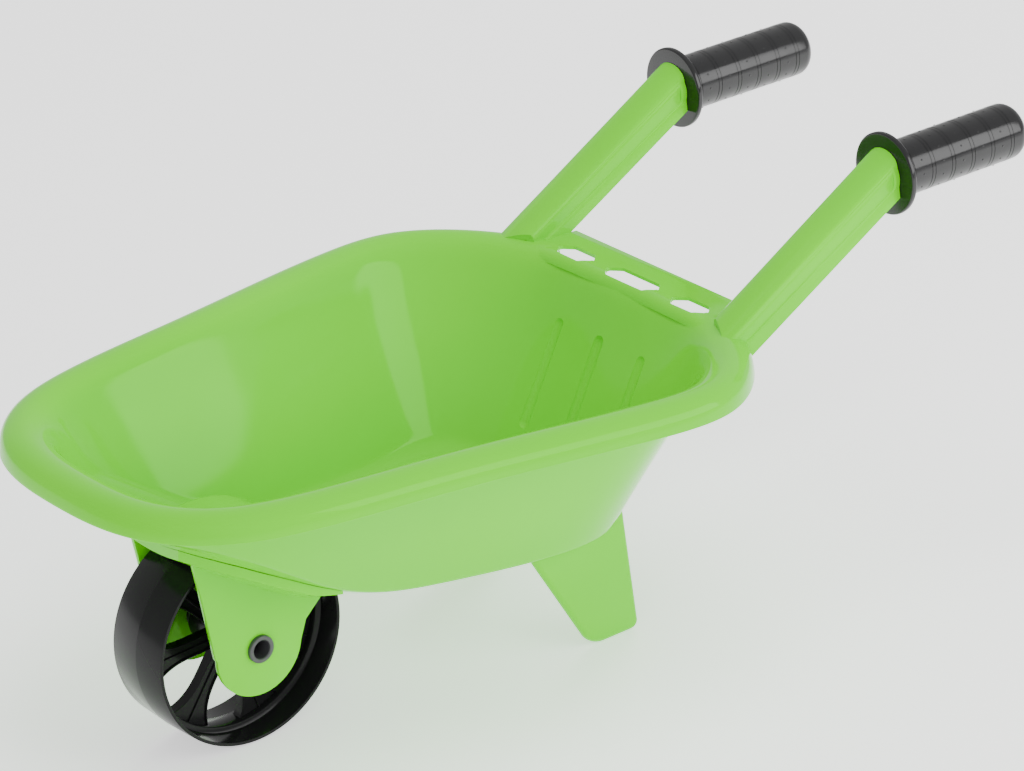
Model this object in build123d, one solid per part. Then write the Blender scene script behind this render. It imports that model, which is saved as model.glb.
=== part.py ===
from build123d import *
import math
import os

# Child's garden wheelbarrow in moulded plastic: a deep oval basin whose rolled rim runs
# out into two handle arms, a screwed-on wheel fork, two screwed-on legs, one spoked wheel
# on a snap-together hollow axle, and two push-on grips.
#
# Axes: X across, +Y from the wheel to the grips, +Z up.  Inside this file every length is
# measured from the lowest point of the wheel, with the body tipped forward by BODY_PITCH.
# Export stands the wheelbarrow on its feet and moves the origin to the middle of its
# footprint.

# ---- driving dimensions, millimetres ----
BODY_PITCH = 3.0        # degrees the body is drawn tipped forward about the axle
SKIN = 2.5              # wall thickness of the thin mouldings
NOSE = -106.5           # front of the rim on the centre line

# rim: heights are above its own lower edge, insets are inwards from its outer edge
RIM_LEVEL = 169.4
RIM_RISE = 0.0285       # climb towards the handles, millimetres per millimetre
LIP_SECTION = [(0.0, 0.0), (1.0, 7.0), (3.0, 10.5), (6.5, 13.0), (11.0, 14.5)]
LIP_TOP = 14.5
LIP_FLAT = 16.0         # inset where the flat top of the lip ends
LIP_WIDTH = 26.0        # inset of the crease between lip and basin wall
LIP_CREASE = 10.5       # height of that crease
FUNNEL_SLOPE = (LIP_TOP - LIP_CREASE) / (LIP_WIDTH - LIP_FLAT)
WALL_DEPTH = 115.0      # the wall cone is drawn this far below the rim
WALL_SKIN = 2.8         # wall thickness measured level with the ground
FUNNEL_OVER = 0.5       # the inside cone starts this far above the lip

# Outer edge of the rim seen from above: right half, nose to tail.
RIM_OUTLINE = [
    (0, NOSE), (40, -104.0), (74, -92.5), (104, -63.5), (120.5, -18), (133, 57),
    (146.5, 129), (154.5, 176), (154, 226), (137.5, 255), (107.5, 281), (72, 297), (0, 299),
]
# Foot of the wall cone seen from above: right half, nose to tail.
WALL_FOOT = [
    (0, -20), (22, -14), (36, 6), (45, 50), (54, 100), (62, 145), (66, 173),
    (61.5, 199), (42, 211.5), (0, 214),
]
OUTLINE_STEPS = 24      # points that carry an inset outline

# Underside of the basin: station, height on the centre line, crown per square of x.
BELLY = [
    (-95, 162.0, 0.00375), (-75, 147.0, 0.00375), (-51, 130.6, 0.00375),
    (-26, 114.6, 0.00375), (0, 99.0, 0.00375), (22, 87.0, 0.00375), (42, 79.0, 0.0036),
    (65, 74.0, 0.0031), (100, 71.5, 0.0025), (150, 71.0, 0.0019), (200, 73.0, 0.0018),
    (260, 80.0, 0.0018), (320, 92.0, 0.0018),
]
BELLY_HALF = 90.0       # half-width of each curved belly section
SIDE_HALF = 170.0       # wider than the whole basin
SECTION_TOP = 300.0     # higher than everything

# three grooves in the rear wall
GROOVE_X = [-36.0, 0.0, 36.0]
GROOVE_RADIUS = 4.5
GROOVE_DEPTH = 1.3
GROOVE_FROM, GROOVE_TO = 104.0, 164.0    # heights

# flat bridge between the arms, seen from above, and the three slots through it
BRIDGE_HALF = 78.5
BRIDGE_FRONT = [(BRIDGE_HALF, 268.0), (40.0, 272.0), (0.0, 273.0)]
BRIDGE_REAR = 308.0
BRIDGE_STEP = 279.0     # in front of this the bridge is as deep as the lip's slope
BRIDGE_DEEP = 5.0
BRIDGE_OPEN = 284.0     # behind this the rim's skirt is left out under the bridge
SLOTS = [(-50.0, 14.5), (0.0, 21.5), (50.0, 14.5)]    # centre, half-length
SLOT_Y = (278.0, 291.5)
SLOT_CORNER = 5.5
SLOT_REACH = 40.0       # the slots are cut this far up from the rim's lower edge

# wheel and axle
WHEEL_RADIUS = 60.0
WHEEL_HALF = 22.4
WHEEL_DRAFT = 0.7       # the tread is this much smaller at its edges
TREAD_WALL = 2.6
TREAD_LIP = 2.0         # thickness of the tread at its edges
WEB_HALF = 7.0          # half-width of the thicker ring inside the tread
WEB_STEP = 0.9
WEB_WALL = 6.0          # tread and ring together
ARCH_CLEAR = 5.0        # gap between tread and wheel arch
ARCH_HALF = 27.2
SPOKES = 7
SPOKE_HALF = 3.4        # half thickness across the wheel
SPOKE_FLARE = 17.0      # half-width where a spoke meets the tread
SPOKE_TIP = 56.3        # radius where it does
SPOKE_WAIST = (34.0, 6.4)       # radius and half-width of its narrow middle
SPOKE_ROOT = (9.0, 5.2) # radius and half-width at the hub
FIRST_SPOKE = -20.0     # degrees above the horizontal, towards the handles
HUB_RADIUS = 12.0
HUB_HALF = 20.0
AXLE_RADIUS = 6.6
AXLE_BORE = 5.3
AXLE_HEAD_RADIUS = 8.0
AXLE_HEAD = 2.4
PLUG_LENGTH = 26.0
RUNNING_GAP = 0.06
AXLE_EDGE = 0.7         # rounding of the axle's two heads
PLUG_FLOOR = 3.0        # thickness of the plug's head and end wall together
SPACER_WALL = 1.6
SPACER_GAPS = (0.3, 0.1)        # play against the hub and against the ear
BEYOND = 60.0           # half-length of a cutting cylinder that runs past everything

# fork bracket
EAR_OUTER = 30.0        # outer face of each ear
EAR_THICK = 2.7
EAR_TOE = 27.6          # radius of the ear's rounded lower end
EAR_FRONT = [(-43, 130), (-37, 103), (-30.5, 66)]
EAR_REAR = [(27.5, 57), (31, 68), (47, 84)]
SADDLE_THICK = 6.0
SADDLE_END = 1.5        # thickness at the rear end
SADDLE_TAPER = (14.0, 34.0)     # it thins between these stations
SADDLE_FRONT, SADDLE_REAR = -50.0, 32.0
SADDLE_SPAN = 140.0     # wider than the saddle: the wall cone trims its sides
FORK_SCREWS = [(44.0, -24.0), (46.0, 10.0)]

# arms and grips
ARM_X = 91.3
ARM_TOP_WIDTH = 24.0
ARM_FOOT_WIDTH = 27.5
ARM_DEPTH = 20.5
ARM_CORNER = 7.0
ARM_LEDGE = (8.0, 1.0)  # depth of the ledge along each side and how far it stands out
ARM_SLOPE = 30.3        # degrees
ARM_TOP = (271.4, 191.0)        # a point on the arm's top line
ARM_BEGIN = 258.0
ARM_REACH = 180.0       # drawn this long, then trimmed by the grip's front face
ARM_INTO_RIM = 280.0    # in front of this the channel stops at the rim's lower edge
ARM_END_WALL = 8.0      # solid end that carries the spigot
FLANGE_AT = (393.0, 254.3)      # centre of the grip flange's front face
GRIP_PITCH = 2.2        # degrees
GRIP_RADIUS = 15.8
GRIP_LENGTH = 97.2
GRIP_ROUND = 8.0
GRIP_BORE = 12.0
GRIP_BORE_DEPTH = 84.0
FLANGE_RADIUS = 23.7
FLANGE_THICK = 3.6
SPIGOT_RADIUS = 11.9
SPIGOT_LENGTH = 78.0
SPIGOT_ROOT = 14.0
SPIGOT_SINK = 4.0       # the spigot starts this far inside the end wall
FLANGE_EDGE = 1.2

# legs
LEG_X = 65.5            # outer face
LEG_PROFILE = [(151.3, 82), (196.8, 0), (231.5, 0), (222.4, 82)]    # standing on the ground
LEG_TOE_FRONT = 13.0
LEG_TOE_REAR = 4.0
LEG_DEPTH = 12.0
LEG_SKIN = 3.0
LEG_PAD = 3.0
LEG_PAD_CENTRE = (51.5, 193.0)
LEG_PAD_SIZE = (24.0, 62.0)
LEG_SCREWS = [(50.0, 178.0), (50.0, 206.0)]

# thread-forming screws
SHANK_RADIUS = 1.9
SCREW_HEAD_RADIUS = 3.8
SCREW_HEAD = 2.2
SCREW_LENGTH = 8.0
SCREW_EDGE = 1.2        # rounding of the head
DRIVE = (4.4, 0.9, 1.0) # cross recess: length, width, depth
DRIVE_TURN = 25.0       # degrees from one screw's recess to the next
HOLE_PLAY = 0.15        # clearance hole in the basin, over the shank's radius
LAND_MARGIN = 1.2       # the level land is this much larger than the head
LAND_DEPTH = 8.0
HEAD_LIFT = 0.03        # the head stands this far off its land
BOSS_RADIUS = 4.6
BOSS_LENGTH = 9.0
BOSS_FLOOR = 2.0        # closed end of the boss below the screw's tip

STAND = Pos(0, 0, WHEEL_RADIUS) * Rot(-BODY_PITCH, 0, 0) * Pos(0, 0, -WHEEL_RADIUS)


# ---- curves and planes of the basin ----
def rim_plane(level):
    """Plane parallel to the rim, a height above the rim's lower edge."""
    return Plane(
        origin=(0, 0, RIM_LEVEL + level), x_dir=(1, 0, 0), z_dir=(0, -RIM_RISE, 1)
    )


def closed_curve(half):
    """Smooth closed curve through half an outline and its mirror image."""
    right = [Vector(x, y) for x, y in half]
    left = [Vector(-x, y) for x, y in half[-2:0:-1]]
    return Edge.make_spline(right + left, periodic=True)


def inset_wire(half, inset):
    """The closed outline moved inwards, square to itself, as four joined curves."""
    outline = closed_curve(half)
    moved = []
    for step in range(OUTLINE_STEPS):
        place = outline.position_at(step / OUTLINE_STEPS)
        along = outline.tangent_at(step / OUTLINE_STEPS)
        moved.append(place + Vector(-along.Y, along.X) * inset)
    whole = Edge.make_spline(moved, periodic=True)
    return Wire([whole.trim(part / 4, (part + 1) / 4) for part in range(4)])


def rim_ring(inset, level):
    return rim_plane(level).location * inset_wire(RIM_OUTLINE, inset)


def foot_ring(outset):
    return rim_plane(-WALL_DEPTH).location * inset_wire(WALL_FOOT, -outset)


def lip_block(skin=0.0):
    """Everything under the rolled lip, its surface moved inwards by skin."""
    rings = []
    for inset, level in LIP_SECTION:
        drop = skin if level else skin / SKIN
        rings.append(rim_ring(inset + skin, level - drop))
    return Solid.make_loft(rings, ruled=True)


def basin_cone(outside):
    """Inside or outside surface of the basin wall, as a solid open to the lip."""
    if outside:
        level = LIP_TOP - SKIN
        inset = LIP_FLAT - SKIN
        crease = LIP_WIDTH - WALL_SKIN
        rings = [rim_ring(inset, level)]
        rings.append(rim_ring(crease, level - (crease - inset) * FUNNEL_SLOPE))
        rings.append(foot_ring(WALL_SKIN))
    else:
        start = LIP_FLAT - FUNNEL_OVER / FUNNEL_SLOPE
        rings = [rim_ring(start, LIP_TOP + FUNNEL_OVER), rim_ring(LIP_WIDTH, LIP_CREASE)]
        rings.append(foot_ring(0.0))
    return Solid.make_loft(rings, ruled=True)


def saddle_depth(y):
    """Thickness of the fork's saddle, thinning towards its rear end."""
    start, end = SADDLE_TAPER
    part = min(max((y - start) / (end - start), 0.0), 1.0)
    return SADDLE_THICK + (SADDLE_END - SADDLE_THICK) * part


def above_belly(lift, with_saddle=False):
    """Solid above the basin's underside, raised by lift or lowered by the saddle's depth."""
    sections = []
    for y, height, crown in BELLY:
        low = height + lift - (saddle_depth(y) if with_saddle else 0.0)
        edge = low + crown * BELLY_HALF ** 2
        arc = Edge.make_three_point_arc(
            Vector(-BELLY_HALF, y, edge), Vector(0, y, low), Vector(BELLY_HALF, y, edge)
        )
        corners = [
            Vector(BELLY_HALF, y, edge), Vector(SIDE_HALF, y, edge),
            Vector(SIDE_HALF, y, SECTION_TOP), Vector(-SIDE_HALF, y, SECTION_TOP),
            Vector(-SIDE_HALF, y, edge), Vector(-BELLY_HALF, y, edge),
        ]
        lines = [Edge.make_line(a, b) for a, b in zip(corners, corners[1:])]
        sections.append(Wire([arc, *lines]))
    return Solid.make_loft(sections, ruled=False)


def across(radius, half, y=0.0, z=WHEEL_RADIUS):
    """Cylinder lying along X, centred on the axle unless placed elsewhere."""
    return Pos(0, y, z) * Rot(0, 90, 0) * Cylinder(radius, 2 * half)


def across_from(radius, x0, x1):
    """Cylinder on the axle's line between two x positions."""
    middle = Pos((x0 + x1) / 2, 0, WHEEL_RADIUS)
    return middle * Rot(0, 90, 0) * Cylinder(radius, abs(x1 - x0))


def basin_outside():
    arch = across(WHEEL_RADIUS + ARCH_CLEAR, ARCH_HALF)
    return (basin_cone(True) & above_belly(0.0)) - arch


def basin_inside():
    arch = across(WHEEL_RADIUS + ARCH_CLEAR + SKIN, ARCH_HALF + SKIN)
    return (basin_cone(False) & above_belly(SKIN)) - arch


def rear_wall_y(height):
    """Inside face of the rear wall on the centre line."""
    top_y = RIM_OUTLINE[-1][1] - LIP_WIDTH
    top_z = RIM_LEVEL + RIM_RISE * top_y + LIP_CREASE
    foot_y = WALL_FOOT[-1][1]
    foot_z = RIM_LEVEL + RIM_RISE * foot_y - WALL_DEPTH
    return foot_y + (height - foot_z) * (top_y - foot_y) / (top_z - foot_z)


def wall_grooves():
    """Three round-ended grooves in the inside of the rear wall."""
    low = Vector(0, rear_wall_y(GROOVE_FROM), GROOVE_FROM)
    high = Vector(0, rear_wall_y(GROOVE_TO), GROOVE_TO)
    along = (high - low).normalized()
    back = GROOVE_RADIUS - GROOVE_DEPTH
    inwards = Vector(0, -along.Z, along.Y)
    tool = None
    for x in GROOVE_X:
        start = low + inwards * back + Vector(x, 0, 0)
        end = high + inwards * back + Vector(x, 0, 0)
        rod = Plane(origin=start, z_dir=along).location * Cylinder(
            GROOVE_RADIUS, (high - low).length, align=(Align.CENTER, Align.CENTER, Align.MIN)
        )
        groove = rod + Pos(start) * Sphere(GROOVE_RADIUS) + Pos(end) * Sphere(GROOVE_RADIUS)
        tool = groove if tool is None else tool + groove
    return tool


def rim_block(outline, bottom, top):
    """Prism between two heights above the rim's lower edge."""
    return rim_plane(bottom).location * extrude(outline, top - bottom)


def with_bridge(shell):
    """Replaces the rear of the rim between the arms by a flat bridge."""
    front = [(-x, y) for x, y in BRIDGE_FRONT] + BRIDGE_FRONT[-2::-1]
    corners = front + [(BRIDGE_HALF, BRIDGE_REAR), (-BRIDGE_HALF, BRIDGE_REAR)]
    outline = make_face(Polyline(*corners, close=True))
    ahead = Pos(0, BRIDGE_STEP - SIDE_HALF, 0) * Rectangle(2 * SIDE_HALF, 2 * SIDE_HALF)
    behind = Pos(0, BRIDGE_OPEN + SIDE_HALF, 0) * Rectangle(2 * BRIDGE_HALF, 2 * SIDE_HALF)
    shell = shell - rim_block(behind, -SKIN, LIP_TOP - SKIN)
    shell += rim_block(outline, LIP_TOP - SKIN, LIP_TOP)
    return shell + rim_block(outline & ahead, LIP_TOP - BRIDGE_DEEP, LIP_TOP)


def rim_slots():
    """Three long slots with cut-off corners through the bridge."""
    front, rear = SLOT_Y
    tool = None
    for centre, half in SLOTS:
        corners = [
            (centre - half, front + SLOT_CORNER), (centre - half + SLOT_CORNER, front),
            (centre + half - SLOT_CORNER, front), (centre + half, front + SLOT_CORNER),
            (centre + half, rear - SLOT_CORNER), (centre + half - SLOT_CORNER, rear),
            (centre - half + SLOT_CORNER, rear), (centre - half, rear - SLOT_CORNER),
        ]
        outline = make_face(Polyline(*corners, close=True))
        slot = Pos(0, 0, RIM_LEVEL) * extrude(outline, SLOT_REACH)
        tool = slot if tool is None else tool + slot
    return tool


# ---- arms ----
def arm_plane(x, y):
    """Plane square to an arm where its top line passes y; local y points down."""
    slope = math.radians(ARM_SLOPE)
    top = ARM_TOP[1] + math.tan(slope) * (y - ARM_TOP[0])
    return Plane(
        origin=(x, y, top), x_dir=(1, 0, 0), z_dir=(0, math.cos(slope), math.sin(slope))
    )


def arm_section(inset, depth):
    """Inverted-U section of an arm: round shoulders and a ledge down each side."""
    top = ARM_TOP_WIDTH / 2 - inset
    foot = ARM_FOOT_WIDTH / 2 - inset
    ledge_at, ledge_out = ARM_LEDGE
    mid = top + ledge_out
    points = [
        (-foot, depth), (-mid, ledge_at + 1.0), (-top, ledge_at), (-top, inset),
        (top, inset), (top, ledge_at), (mid, ledge_at + 1.0), (foot, depth),
    ]
    face = make_face(Polyline(*points, close=True))
    shoulders = face.vertices().sort_by(Axis.Y)[:2]
    return fillet(shoulders, ARM_CORNER - inset)


def grip_plane(x, along=0.0):
    """Plane on the grip's axis facing along it, at a distance behind the flange's face."""
    pitch = math.radians(GRIP_PITCH)
    axis = Vector(0, math.cos(pitch), math.sin(pitch))
    return Plane(
        origin=Vector(x, FLANGE_AT[0], FLANGE_AT[1]) + axis * along, x_dir=(1, 0, 0), z_dir=axis
    )


def rod(x, along, radius, length):
    """Round bar on a grip's axis."""
    base = grip_plane(x, along).location
    return base * Cylinder(radius, length, align=(Align.CENTER, Align.CENTER, Align.MIN))


def arm(x):
    """One handle arm: an open-bottomed channel ending in a hollow spigot."""
    begin = arm_plane(x, ARM_BEGIN).location
    outer = extrude(begin * arm_section(0.0, ARM_DEPTH), ARM_REACH)
    inner = extrude(begin * arm_section(SKIN, 2 * ARM_DEPTH), ARM_REACH)
    past_flange = rod(x, 0.0, 4 * FLANGE_RADIUS, ARM_REACH)
    below_rim = rim_plane(0.0).location * Box(
        2 * SIDE_HALF, 2 * ARM_INTO_RIM, RIM_LEVEL, align=(Align.CENTER, Align.CENTER, Align.MAX)
    )
    channel = outer - inner - past_flange - below_rim
    end_wall = rod(x, -ARM_END_WALL, SPIGOT_ROOT, ARM_END_WALL)
    end_wall = end_wall & extrude(begin * arm_section(0.0, ARM_DEPTH + 6.0), ARM_REACH)
    spigot = rod(x, -SPIGOT_SINK, SPIGOT_RADIUS, SPIGOT_LENGTH + SPIGOT_SINK)
    spigot -= rod(x, SKIN, SPIGOT_RADIUS - SKIN, SPIGOT_LENGTH)
    return channel + end_wall + spigot


# ---- screws shared by fork and legs ----
def belly_z(x, y):
    """Height of the basin's underside."""
    for (y0, z0, c0), (y1, z1, c1) in zip(BELLY, BELLY[1:]):
        if y0 <= y <= y1:
            part = (y - y0) / (y1 - y0)
            return z0 + (z1 - z0) * part + (c0 + (c1 - c0) * part) * x * x
    raise ValueError("station outside the belly")


def screw_places(pairs):
    return [(side * x, y) for x, y in pairs for side in (1, -1)]


def screw_seat(x, y):
    """Highest point of the floor's upper face under a screw head."""
    heights = []
    for step in range(12):
        turn = math.radians(30 * step)
        heights.append(
            belly_z(x + SCREW_HEAD_RADIUS * math.cos(turn), y + SCREW_HEAD_RADIUS * math.sin(turn))
        )
    return max(heights) + SKIN


def upright(x, y, z, radius, length):
    """Cylinder standing on z."""
    return Pos(x, y, z) * Cylinder(radius, length, align=(Align.CENTER, Align.CENTER, Align.MIN))


def screw_pads(places):
    """Small level lands on the basin floor under the screw heads."""
    pads = None
    for x, y in places:
        seat = screw_seat(x, y)
        pad = upright(x, y, seat - LAND_DEPTH, SCREW_HEAD_RADIUS + LAND_MARGIN, LAND_DEPTH)
        pads = pad if pads is None else pads + pad
    return pads


def shank_holes(places, radius):
    """Holes that run past both ends of the screws."""
    over = 4.0
    holes = None
    for x, y in places:
        tip = screw_seat(x, y) - SCREW_LENGTH
        hole = upright(x, y, tip - over, radius, SCREW_LENGTH + 2 * over)
        holes = hole if holes is None else holes + hole
    return holes


def screws(places):
    """Pan-head screws driven down through the basin floor."""
    length, width, depth = DRIVE
    recess = Box(length, width, 2 * depth) + Box(width, length, 2 * depth)
    head = upright(0, 0, 0, SCREW_HEAD_RADIUS, SCREW_HEAD)
    head = fillet(head.edges().sort_by(Axis.Z)[-1:], SCREW_EDGE)
    shank = upright(0, 0, -SCREW_LENGTH, SHANK_RADIUS, SCREW_LENGTH)
    screw = head + shank - Pos(0, 0, SCREW_HEAD) * recess
    group = []
    for number, (x, y) in enumerate(places):
        seat = screw_seat(x, y) + HEAD_LIFT
        group.append(Pos(x, y, seat) * Rot(0, 0, DRIVE_TURN * (number + 1)) * screw)
    return Compound(children=group)


def screw_bosses(places):
    """Posts under the floor that the screws bite into."""
    posts = None
    for x, y in places:
        foot = screw_seat(x, y) - SCREW_LENGTH - BOSS_FLOOR
        post = upright(x, y, foot, BOSS_RADIUS, BOSS_LENGTH)
        posts = post if posts is None else posts + post
    return posts


# ---- the mouldings ----
def make_basin():
    """Basin, rolled rim and handle arms, moulded in one."""
    places = screw_places(FORK_SCREWS + LEG_SCREWS)
    outside = basin_outside()
    shell = outside - basin_inside()
    shell += lip_block() - lip_block(SKIN) - basin_cone(False)
    shell = with_bridge(shell) - wall_grooves() - rim_slots()
    for side in (1, -1):
        shell += arm(side * ARM_X) - basin_cone(False)
    shell += screw_pads(places) & outside
    return shell - shank_holes(places, SHANK_RADIUS + HOLE_PLAY)


def side_view(shape):
    """A face drawn as (y, z), stood up on the centre plane."""
    plane = Plane(origin=(0, 0, 0), x_dir=(0, 1, 0), z_dir=(1, 0, 0))
    return plane.location * shape


def ear_outline():
    """Side view of an ear: straight flanks on a round toe under the axle."""
    toe_front = (-EAR_TOE, WHEEL_RADIUS)
    top_rear = (EAR_REAR[-1][0], EAR_FRONT[0][1])
    front = Polyline(*EAR_FRONT, toe_front)
    toe = ThreePointArc(toe_front, (0, WHEEL_RADIUS - EAR_TOE), EAR_REAR[0])
    rear = Polyline(*EAR_REAR, top_rear, EAR_FRONT[0])
    return side_view(make_face([*front.edges(), *toe.edges(), *rear.edges()]))


def make_fork():
    """Saddle plate under the basin with an ear each side of the wheel."""
    places = screw_places(FORK_SCREWS)
    inner_face = EAR_OUTER - EAR_THICK
    length = SADDLE_REAR - SADDLE_FRONT
    middle = (SADDLE_REAR + SADDLE_FRONT) / 2
    patch = Pos(0, middle, WHEEL_RADIUS) * Box(SADDLE_SPAN, length, 2 * SADDLE_SPAN)
    body = above_belly(0.0, with_saddle=True) & patch & basin_cone(False)
    body += Pos(inner_face, 0, 0) * extrude(ear_outline(), EAR_THICK)
    body += Pos(-EAR_OUTER, 0, 0) * extrude(ear_outline(), EAR_THICK)
    body = body - above_belly(0.0)
    body = body - across(WHEEL_RADIUS + ARCH_CLEAR, inner_face)
    body = body - across(AXLE_RADIUS + RUNNING_GAP, BEYOND)
    return body - shank_holes(places, SHANK_RADIUS)


def lowest_corners(face):
    """The two lowest corners of a side view, front one first."""
    return face.vertices().sort_by(Axis.Y)[:2].sort_by(Axis.X)


def make_leg():
    """Left leg: upright outer plate, rear edge and sole turned in, and a top pad."""
    outline = make_face(Polyline(*LEG_PROFILE, close=True))
    outline = fillet(lowest_corners(outline)[0], LEG_TOE_FRONT)
    outline = fillet(lowest_corners(outline)[1], LEG_TOE_REAR)
    block = extrude(side_view(outline), LEG_DEPTH, dir=(-1, 0, 0))
    hollow = extrude(side_view(outline), 2 * LEG_DEPTH, dir=(-1, 0, 0))
    plate = block - Pos(-LEG_SKIN, -LEG_SKIN, LEG_SKIN) * hollow
    leg = STAND.inverse() * Pos(LEG_X, 0, 0) * plate
    pad = Pos(*LEG_PAD_CENTRE, WHEEL_RADIUS) * Box(*LEG_PAD_SIZE, 2 * WHEEL_RADIUS)
    leg += above_belly(-LEG_PAD) & pad & basin_cone(False)
    leg += screw_bosses(LEG_SCREWS)
    leg = leg - (basin_cone(True) & above_belly(0.0))
    return leg - shank_holes(LEG_SCREWS, SHANK_RADIUS)


def tread_section():
    """Half-section of the wheel's ring as (x, radius), drawn in the X-Y plane."""
    edge = WHEEL_RADIUS - WHEEL_DRAFT
    inner = WHEEL_RADIUS - TREAD_WALL
    half = [
        (WHEEL_HALF, edge), (WHEEL_HALF, edge - TREAD_LIP), (WEB_HALF + 1.0, inner),
        (WEB_HALF, inner - WEB_STEP), (WEB_HALF - WEB_STEP, WHEEL_RADIUS - WEB_WALL),
    ]
    mirrored = [(-x, radius) for x, radius in reversed(half)]
    return make_face(Polyline((0, WHEEL_RADIUS), *half, *mirrored, close=True))


def spoke_outline():
    """Side view of one spoke along +Y: wide at the tread, waisted, wide at the hub."""
    (waist_at, waist), (root_at, root) = SPOKE_WAIST, SPOKE_ROOT
    tip_low, tip_high = (SPOKE_TIP, -SPOKE_FLARE), (SPOKE_TIP, SPOKE_FLARE)
    root_low, root_high = (root_at, -root), (root_at, root)
    low = ThreePointArc(root_low, (waist_at, -waist), tip_low)
    high = ThreePointArc(tip_high, (waist_at, waist), root_high)
    tip = Line(tip_low, tip_high)
    foot = Line(root_high, root_low)
    return side_view(make_face([*low.edges(), *tip.edges(), *high.edges(), *foot.edges()]))


def make_wheel():
    """Open tread ring, seven flared spokes and a hub, moulded in one."""
    wheel = revolve(tread_section(), Axis.X)
    spoke = Pos(-SPOKE_HALF, 0, 0) * extrude(spoke_outline(), 2 * SPOKE_HALF)
    for number in range(SPOKES):
        wheel += Rot(FIRST_SPOKE + 360 / SPOKES * number, 0, 0) * spoke
    wheel += Rot(0, 90, 0) * Cylinder(HUB_RADIUS, 2 * HUB_HALF)
    wheel -= Rot(0, 90, 0) * Cylinder(AXLE_RADIUS + RUNNING_GAP, 2 * BEYOND)
    return Pos(0, 0, WHEEL_RADIUS) * wheel


def make_axle_tube():
    """Hollow axle with a head outside the left ear."""
    tube = across_from(AXLE_RADIUS, -EAR_OUTER, EAR_OUTER)
    head = across_from(AXLE_HEAD_RADIUS, EAR_OUTER, EAR_OUTER + AXLE_HEAD)
    head = fillet(head.edges().sort_by(Axis.X)[-1:], AXLE_EDGE)
    return tube + head - across(AXLE_BORE, BEYOND)


def make_axle_plug():
    """Headed plug snapped into the axle from outside the right ear."""
    shank = across_from(AXLE_BORE - RUNNING_GAP, -EAR_OUTER, -EAR_OUTER + PLUG_LENGTH)
    head = across_from(AXLE_HEAD_RADIUS, -EAR_OUTER - AXLE_HEAD, -EAR_OUTER)
    head = fillet(head.edges().sort_by(Axis.X)[:1], AXLE_EDGE)
    return shank + head - across_from(AXLE_BORE - SKIN, -EAR_OUTER + PLUG_FLOOR, 0.0)


def make_spacer(side):
    """Loose sleeve between hub and ear."""
    hub_gap, ear_gap = SPACER_GAPS
    start = side * (HUB_HALF + hub_gap)
    end = side * (EAR_OUTER - EAR_THICK - ear_gap)
    sleeve = across_from(AXLE_RADIUS + SPACER_WALL, start, end)
    return sleeve - across(AXLE_RADIUS + RUNNING_GAP, BEYOND)


def make_grip(x):
    """Push-on grip: flange, barrel with a rounded end, blind bore."""
    barrel = rod(x, 0.0, GRIP_RADIUS, GRIP_LENGTH)
    barrel = fillet(barrel.edges().sort_by(Axis.Y)[-1:], GRIP_ROUND)
    flange = rod(x, 0.0, FLANGE_RADIUS, FLANGE_THICK)
    flange = fillet(flange.edges().filter_by(GeomType.CIRCLE), FLANGE_EDGE)
    return barrel + flange - rod(x, 0.0, GRIP_BORE, GRIP_BORE_DEPTH)


def footprint_middle(shapes):
    """Middle of the whole wheelbarrow along Y."""
    boxes = [shape.bounding_box() for shape in shapes]
    return (min(box.min.Y for box in boxes) + max(box.max.Y for box in boxes)) / 2


def build():
    """Every piece by name, standing on the ground with the axle over the origin."""
    leg = make_leg()
    drawn = {
        "basin": make_basin(),
        "fork_bracket": make_fork(),
        "fork_screws": screws(screw_places(FORK_SCREWS)),
        "leg_left": leg,
        "leg_right": mirror(leg, about=Plane.YZ),
        "leg_screws": screws(screw_places(LEG_SCREWS)),
        "wheel": make_wheel(),
        "axle_tube": make_axle_tube(),
        "axle_plug": make_axle_plug(),
        "spacer_left": make_spacer(1),
        "spacer_right": make_spacer(-1),
        "grip_left": make_grip(ARM_X),
        "grip_right": make_grip(-ARM_X),
    }
    return {name: STAND * shape for name, shape in drawn.items()}


if __name__ == "__main__":
    os.makedirs("parts", exist_ok=True)
    pieces = build()
    middle = footprint_middle(pieces.values())
    print(f"the axle stands {-middle:.3f} mm from the origin along Y")
    for name, shape in pieces.items():
        export_step(Pos(0, -middle, 0) * shape, f"parts/{name}.step")
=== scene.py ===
import math

import bmesh
import bpy
import numpy as np
from mathutils import Matrix, Vector


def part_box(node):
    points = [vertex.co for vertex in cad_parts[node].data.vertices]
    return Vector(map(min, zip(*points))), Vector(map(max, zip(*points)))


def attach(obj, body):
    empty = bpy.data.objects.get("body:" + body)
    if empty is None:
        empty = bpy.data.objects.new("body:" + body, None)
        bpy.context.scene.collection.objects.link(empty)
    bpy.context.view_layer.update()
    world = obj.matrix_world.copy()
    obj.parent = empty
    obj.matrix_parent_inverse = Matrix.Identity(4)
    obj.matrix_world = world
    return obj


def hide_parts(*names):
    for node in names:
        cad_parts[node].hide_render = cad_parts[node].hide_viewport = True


# A child's moulded wheelbarrow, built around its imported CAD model.
#
# Lengths below are millimetres, measured from the lowest point of the wheel, with the body
# tipped forward by BODY_PITCH: X to the pusher's left, +Y from the wheel to the grips, +Z up.
# row() stands them on the ground and turns them into the row frame, in metres.

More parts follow.
